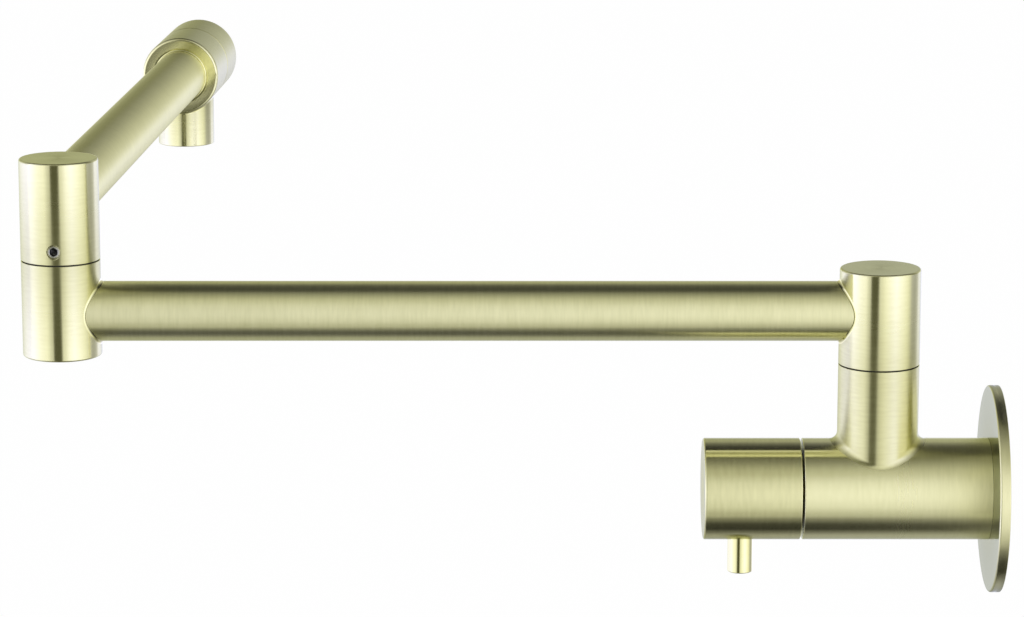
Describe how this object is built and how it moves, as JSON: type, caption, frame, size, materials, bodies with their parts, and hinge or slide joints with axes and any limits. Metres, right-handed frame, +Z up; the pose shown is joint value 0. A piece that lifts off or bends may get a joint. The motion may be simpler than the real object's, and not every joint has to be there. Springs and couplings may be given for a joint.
{
  "type": "wall mounted pot filler",
  "caption": "Wall mounted pot filler tap with a round wall flange, folding tubular arms on swivel hubs, a knob valve with a lever pin at each end and a downward outlet.",
  "frame": {"origin": "centre of the inlet thread's mouth, in the plane of the wall", "axes": "+Y along the inlet axis into the wall, +Z up, -Y out into the room; at rest the second arm points to -X"},
  "size_m": [0.4057, 0.3597, 0.1636],
  "materials": {
    "brushed_brass": "brushed pale gold",
    "black_rubber": "matt",
    "white_plastic": "satin moulded",
    "ceramic": "lapped white ceramic",
    "stainless_steel": "plain machined"
  },
  "bodies": {
    "base": {"wall_flange": "brushed_brass", "flange_o_ring": "black_rubber", "valve_body": "brushed_brass", "riser_stub": "brushed_brass", "riser_fillet_ring": "brushed_brass", "inlet_washer": "black_rubber", "main_cartridge_housing": "brushed_brass", "main_seat_seal": "black_rubber", "main_fixed_disc": "ceramic", "riser_o_rings": "black_rubber", "riser_slip_washer": "black_rubber"},
    "main_handle": {"main_spindle": "brushed_brass", "main_spindle_o_ring": "black_rubber", "main_moving_disc": "ceramic", "main_knob": "brushed_brass", "main_lever_pin": "brushed_brass"},
    "arm_1": {"arm1_riser_hub": "brushed_brass", "riser_grub_screw": "stainless_steel", "arm1_tube": "brushed_brass", "arm1_braze": "brushed_brass", "arm1_elbow_hub": "brushed_brass", "elbow_o_rings": "black_rubber", "elbow_slip_washer": "black_rubber"},
    "arm_2": {"arm2_elbow_hub": "brushed_brass", "elbow_grub_screw": "stainless_steel", "arm2_tube": "brushed_brass", "arm2_braze": "brushed_brass", "spout_body": "brushed_brass", "outlet_pipe": "brushed_brass", "outlet_braze": "brushed_brass", "spout_cartridge_housing": "brushed_brass", "spout_seat_seal": "black_rubber", "spout_fixed_disc": "ceramic", "aerator_cage": "brushed_brass", "aerator_screen": "white_plastic", "aerator_washer": "black_rubber"},
    "spout_handle": {"spout_spindle": "brushed_brass", "spout_spindle_o_ring": "black_rubber", "spout_moving_disc": "ceramic", "spout_knob": "brushed_brass", "spout_lever_pin": "brushed_brass"}
  },
  "joints": [
    {"name": "arm_1_swivel", "type": "hinge", "parent": "base", "child": "arm_1", "pos_m": [0, -0.0452, 0.052], "axis": [0, 0, 1], "range_deg": [-90, 90]},
    {"name": "arm_2_swivel", "type": "hinge", "parent": "arm_1", "child": "arm_2", "pos_m": [0, -0.3452, 0.09], "axis": [0, 0, 1], "range_deg": [-74, 261]},
    {"name": "main_handle_turn", "type": "hinge", "parent": "base", "child": "main_handle", "pos_m": [0, -0.09, 0], "axis": [0, -1, 0], "range_deg": [0, 90]},
    {"name": "spout_handle_turn", "type": "hinge", "parent": "arm_2", "child": "spout_handle", "pos_m": [-0.34931, -0.32322, 0.1086], "axis": [-0.998, 0.0628, 0], "range_deg": [0, 90]}
  ]
}
